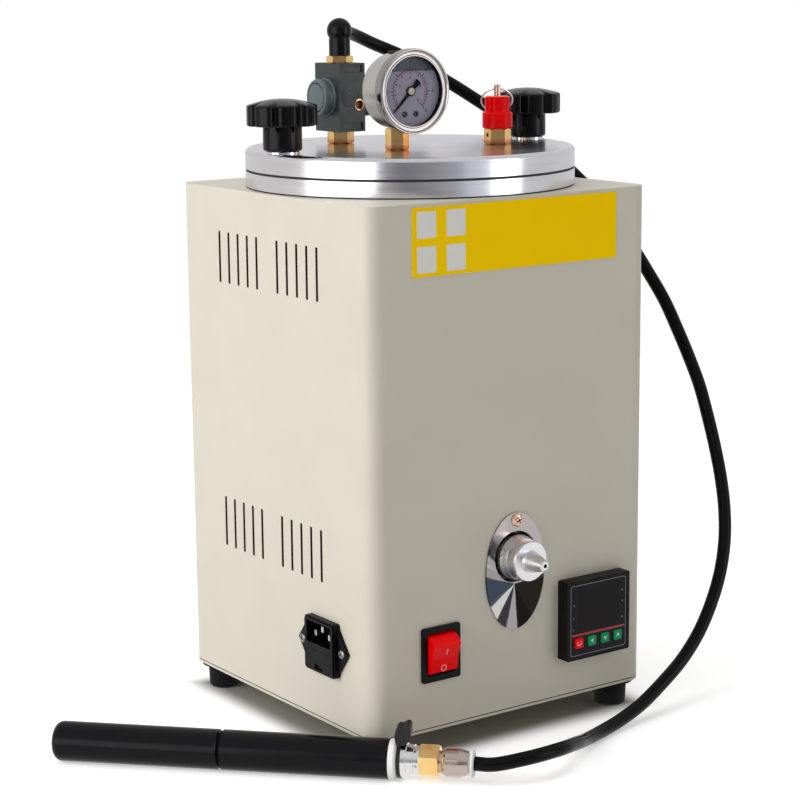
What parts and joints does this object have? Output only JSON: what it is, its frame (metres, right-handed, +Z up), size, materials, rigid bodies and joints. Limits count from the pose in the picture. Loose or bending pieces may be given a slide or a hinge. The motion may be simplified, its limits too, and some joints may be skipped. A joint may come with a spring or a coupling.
{
  "type": "jewelry wax injector",
  "caption": "Heated pressure pot in a square steel case for injecting wax into moulds, with a clamped lid carrying air fittings, a sprung front nozzle and a hand pump on a hose.",
  "frame": {"origin": "Centre of the four feet, on the plane that they stand on.", "axes": "+X to the right along the front, front panel and nozzle face -Y, +Z up."},
  "size_m": [0.4249, 0.2703, 0.413],
  "materials": {
    "case_enamel": "warm grey powder coat, satin, fine orange peel",
    "foot_rubber": "matte moulded",
    "turned_aluminium": "fine turned and polished",
    "gasket_rubber": "matte",
    "heater_steel": "dull sheet",
    "plain_steel": "plain turned",
    "polished_steel": "polished",
    "nozzle_steel": "fine turned",
    "bronze_screw": "copper-coloured plating",
    "panel_plastic": "fine matte moulded",
    "panel_gloss": "glossy film",
    "red_plastic": "glossy moulded",
    "green_plastic": "glossy moulded",
    "yellow_label": "printed film, satin",
    "knob_plastic": "glossy moulded",
    "regulator_paint": "dark green-grey enamel",
    "brass": "machined",
    "satin_steel": "satin stainless",
    "clear_glass": "clear",
    "dial_paint": "printed aluminium dial",
    "needle_paint": "matte",
    "hose_plastic": "polyurethane tube, semi-gloss",
    "pump_gloss": "glossy",
    "white_plastic": "moulded",
    "lever_rubber": "moulded, semi-matte",
    "nickel": "nickel plated brass"
  },
  "bodies": {
    "root": {"housing_shell": "case_enamel", "base_plate": "case_enamel", "feet": "foot_rubber", "wax_pot": "turned_aluminium", "flange_gasket": "gasket_rubber", "lid_gasket": "gasket_rubber", "heater_band": "heater_steel", "temperature_sensor": "plain_steel", "valve_block": "plain_steel", "nozzle_spring": "plain_steel", "lid_studs": "plain_steel", "inlet_pins": "plain_steel", "nozzle_escutcheon": "polished_steel", "inlet_screws": "polished_steel", "pump_head": "polished_steel", "escutcheon_screw": "bronze_screw", "switch_bezel": "panel_plastic", "controller_case": "panel_plastic", "power_inlet": "panel_plastic", "controller_faceplate": "panel_gloss", "front_label": "yellow_label", "pump_coupling": "brass", "hose": "hose_plastic", "pump_barrel": "pump_gloss", "pump_end_ring": "white_plastic", "push_in_fitting": "nickel"},
    "lid": {"lid": "turned_aluminium", "regulator_body": "regulator_paint", "regulator_cap": "regulator_paint", "regulator_bonnet": "regulator_paint", "regulator_adapter": "brass", "elbow_nut": "brass", "elbow_fitting": "knob_plastic", "gauge_case": "satin_steel", "gauge_bezel": "polished_steel", "gauge_glass": "clear_glass", "gauge_dial": "dial_paint", "gauge_plug": "gasket_rubber", "gauge_adapter": "brass", "safety_valve_body": "brass", "safety_valve_cap": "red_plastic"},
    "washer_left": {"washer_left": "polished_steel"},
    "washer_right": {"washer_right": "polished_steel"},
    "knob_left": {"knob_left": "knob_plastic"},
    "knob_right": {"knob_right": "knob_plastic"},
    "regulator_knob": {"regulator_knob": "knob_plastic"},
    "gauge_needle": {"gauge_needle": "needle_paint"},
    "safety_stem": {"safety_valve_stem": "bronze_screw"},
    "safety_ring": {"safety_valve_ring": "polished_steel"},
    "nozzle": {"nozzle": "nozzle_steel"},
    "rocker": {"switch_rocker": "red_plastic"},
    "set_button": {"set_button": "red_plastic"},
    "shift_button": {"shift_button": "green_plastic"},
    "down_button": {"down_button": "green_plastic"},
    "up_button": {"up_button": "green_plastic"},
    "fuse_drawer": {"fuse_drawer": "panel_plastic"},
    "pump_handle": {"pump_handle": "pump_gloss", "pump_rod": "plain_steel"},
    "pump_lever": {"pump_lever": "lever_rubber"},
    "release_collar": {"release_collar": "white_plastic"}
  },
  "joints": [
    {"name": "lid_lift", "type": "slide", "parent": "root", "child": "lid", "axis": [0, 0, 1], "range_m": [0, 0.07], "deforming": ["hose"]},
    {"name": "left_knob_rise", "type": "slide", "parent": "lid", "child": "washer_left", "axis": [0, 0, 1], "range_m": [0, 0.0101]},
    {"name": "left_knob_turn", "type": "hinge", "parent": "washer_left", "child": "knob_left", "pos_m": [-0.089, 0, 0.3546], "axis": [0, 0, 1], "range_deg": [0, 2880]},
    {"name": "right_knob_rise", "type": "slide", "parent": "lid", "child": "washer_right", "axis": [0, 0, 1], "range_m": [0, 0.0101]},
    {"name": "right_knob_turn", "type": "hinge", "parent": "washer_right", "child": "knob_right", "pos_m": [0.089, 0, 0.3546], "axis": [0, 0, 1], "range_deg": [0, 2880]},
    {"name": "regulator_knob_turn", "type": "hinge", "parent": "lid", "child": "regulator_knob", "pos_m": [0.03, 0.0445, 0.3664], "axis": [1, 0, 0], "range_deg": [0, 1440]},
    {"name": "gauge_needle_sweep", "type": "hinge", "parent": "lid", "child": "gauge_needle", "pos_m": [-0.0238, -0.0345, 0.3724], "axis": [0, 1, 0], "range_deg": [0, 270]},
    {"name": "safety_stem_lift", "type": "slide", "parent": "lid", "child": "safety_stem", "axis": [0, 0, 1], "range_m": [0, 0.003], "stiffness_N_per_m": 900, "springref_m": -0.002},
    {"name": "safety_ring_swing", "type": "hinge", "parent": "safety_stem", "child": "safety_ring", "pos_m": [0.0469, -0.0241, 0.371], "axis": [0.8161, -0.5779, 0], "range_deg": [0, 250]},
    {"name": "nozzle_press", "type": "slide", "parent": "root", "child": "nozzle", "axis": [0, 1, 0], "range_m": [0, 0.004], "stiffness_N_per_m": 1500, "springref_m": -0.003, "deforming": ["nozzle_spring"]},
    {"name": "switch_rock", "type": "hinge", "parent": "root", "child": "rocker", "pos_m": [-0.05365, -0.097, 0.0612], "axis": [-1, 0, 0], "range_deg": [0, 26]},
    {"name": "set_press", "type": "slide", "parent": "root", "child": "set_button", "axis": [0, 1, 0], "range_m": [0, 0.0005], "stiffness_N_per_m": 300, "springref_m": -0.001},
    {"name": "shift_press", "type": "slide", "parent": "root", "child": "shift_button", "axis": [0, 1, 0], "range_m": [0, 0.0005], "stiffness_N_per_m": 300, "springref_m": -0.001},
    {"name": "down_press", "type": "slide", "parent": "root", "child": "down_button", "axis": [0, 1, 0], "range_m": [0, 0.0005], "stiffness_N_per_m": 300, "springref_m": -0.001},
    {"name": "up_press", "type": "slide", "parent": "root", "child": "up_button", "axis": [0, 1, 0], "range_m": [0, 0.0005], "stiffness_N_per_m": 300, "springref_m": -0.001},
    {"name": "fuse_drawer_pull", "type": "slide", "parent": "root", "child": "fuse_drawer", "axis": [-1, 0, 0], "range_m": [0, 0.016]},
    {"name": "pump_stroke", "type": "slide", "parent": "root", "child": "pump_handle", "axis": [-0.6971, 0.717, 0], "range_m": [0, 0.075]},
    {"name": "pump_lever_turn", "type": "hinge", "parent": "root", "child": "pump_lever", "pos_m": [-0.0647, -0.1465, 0.0114], "axis": [-0.6971, 0.717, 0], "range_deg": [-70, 0]},
    {"name": "release_collar_press", "type": "slide", "parent": "root", "child": "release_collar", "axis": [-0.6971, 0.717, 0], "range_m": [0, 0.001], "stiffness_N_per_m": 500, "springref_m": -0.001}
  ],
  "couplings": [
    {"joint": "left_knob_rise", "follows": "left_knob_turn", "m_per_rad": 0.00019894},
    {"joint": "right_knob_rise", "follows": "right_knob_turn", "m_per_rad": 0.00019894}
  ]
}
